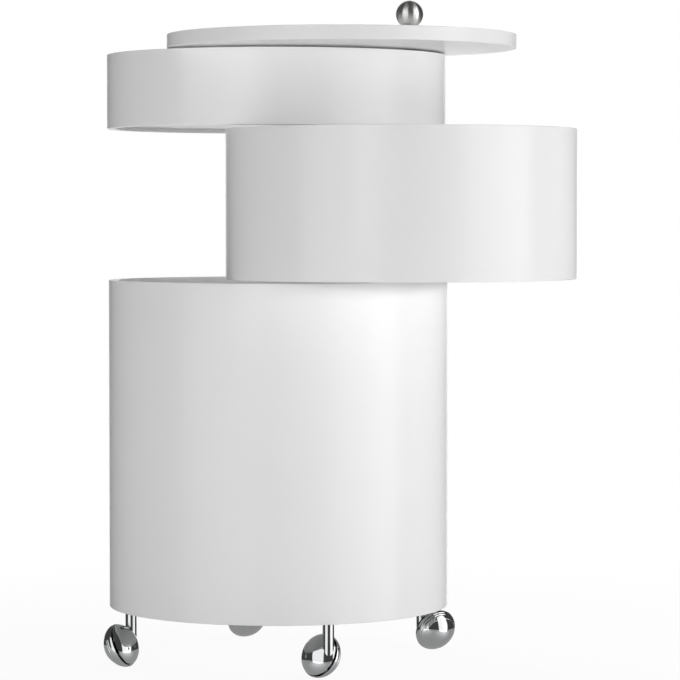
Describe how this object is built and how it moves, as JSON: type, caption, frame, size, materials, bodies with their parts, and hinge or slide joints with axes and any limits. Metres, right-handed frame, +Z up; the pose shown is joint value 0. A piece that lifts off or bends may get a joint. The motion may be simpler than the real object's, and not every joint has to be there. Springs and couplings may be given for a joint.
{
  "type": "serving trolley",
  "caption": "Round serving trolley with white lacquered drums and a lid that swing about one steel post, on inclined ball castors.",
  "frame": {"origin": "on the floor under the axis of the base drum", "axes": "+Z up; +X to the right and +Y away from a viewer who faces the front castor"},
  "size_m": [0.5163, 0.5128, 0.7402],
  "materials": {
    "white_lacquer": "white satin lacquer on bent plywood",
    "satin_steel": "satin turned steel",
    "chrome": "polished chrome plate",
    "zinc_steel": "bright zinc plate",
    "nylon": "natural nylon"
  },
  "bodies": {
    "base": {"base_shell": "white_lacquer", "base_floor": "white_lacquer", "post_rod": "satin_steel", "post_flange": "satin_steel", "post_tube": "satin_steel", "post_nut": "zinc_steel", "lower_washer": "nylon", "middle_washer": "nylon", "upper_washer": "nylon", "ball_finial": "satin_steel", "castor_right_insert": "zinc_steel", "castor_right_stem": "zinc_steel", "castor_rear_insert": "zinc_steel", "castor_rear_stem": "zinc_steel", "castor_left_insert": "zinc_steel", "castor_left_stem": "zinc_steel", "castor_front_insert": "zinc_steel", "castor_front_stem": "zinc_steel"},
    "middle_drum": {"middle_shell": "white_lacquer", "middle_floor": "white_lacquer", "middle_sleeve": "satin_steel"},
    "upper_drum": {"upper_shell": "white_lacquer", "upper_floor": "white_lacquer", "upper_sleeve": "satin_steel"},
    "lid": {"lid_disc": "white_lacquer", "lid_bush": "satin_steel"},
    "right_castor": {"castor_right_hood": "chrome", "castor_right_axle": "zinc_steel"},
    "right_wheel": {"castor_right_wheel": "chrome"},
    "rear_castor": {"castor_rear_hood": "chrome", "castor_rear_axle": "zinc_steel"},
    "rear_wheel": {"castor_rear_wheel": "chrome"},
    "left_castor": {"castor_left_hood": "chrome", "castor_left_axle": "zinc_steel"},
    "left_wheel": {"castor_left_wheel": "chrome"},
    "front_castor": {"castor_front_hood": "chrome", "castor_front_axle": "zinc_steel"},
    "front_wheel": {"castor_front_wheel": "chrome"}
  },
  "joints": [
    {"name": "middle_swing", "type": "hinge", "parent": "base", "child": "middle_drum", "pos_m": [0.14811, 0.03067, 0], "axis": [0, 0, 1], "continuous": true},
    {"name": "upper_swing", "type": "hinge", "parent": "base", "child": "upper_drum", "pos_m": [0.14811, 0.03067, 0], "axis": [0, 0, 1], "continuous": true},
    {"name": "lid_swing", "type": "hinge", "parent": "base", "child": "lid", "pos_m": [0.14811, 0.03067, 0], "axis": [0, 0, 1], "continuous": true},
    {"name": "right_castor_swivel", "type": "hinge", "parent": "base", "child": "right_castor", "pos_m": [0.16377, 0.05321, 0], "axis": [0, 0, 1], "continuous": true},
    {"name": "right_wheel_roll", "type": "hinge", "parent": "right_castor", "child": "right_wheel", "pos_m": [0.17932, 0.05742, 0.02349], "axis": [-0.472, 0.7855, 0.4003], "continuous": true},
    {"name": "rear_castor_swivel", "type": "hinge", "parent": "base", "child": "rear_castor", "pos_m": [-0.05321, 0.16377, 0], "axis": [0, 0, 1], "continuous": true},
    {"name": "rear_wheel_roll", "type": "hinge", "parent": "rear_castor", "child": "rear_wheel", "pos_m": [-0.03766, 0.16798, 0.02349], "axis": [-0.472, 0.7855, 0.4003], "continuous": true},
    {"name": "left_castor_swivel", "type": "hinge", "parent": "base", "child": "left_castor", "pos_m": [-0.16377, -0.05321, 0], "axis": [0, 0, 1], "continuous": true},
    {"name": "left_wheel_roll", "type": "hinge", "parent": "left_castor", "child": "left_wheel", "pos_m": [-0.17339, -0.06614, 0.02349], "axis": [0.8566, -0.3254, 0.4003], "continuous": true},
    {"name": "front_castor_swivel", "type": "hinge", "parent": "base", "child": "front_castor", "pos_m": [0.05321, -0.16377, 0], "axis": [0, 0, 1], "continuous": true},
    {"name": "front_wheel_roll", "type": "hinge", "parent": "front_castor", "child": "front_wheel", "pos_m": [0.04524, -0.14977, 0.02349], "axis": [-0.6423, -0.6536, 0.4003], "continuous": true}
  ]
}
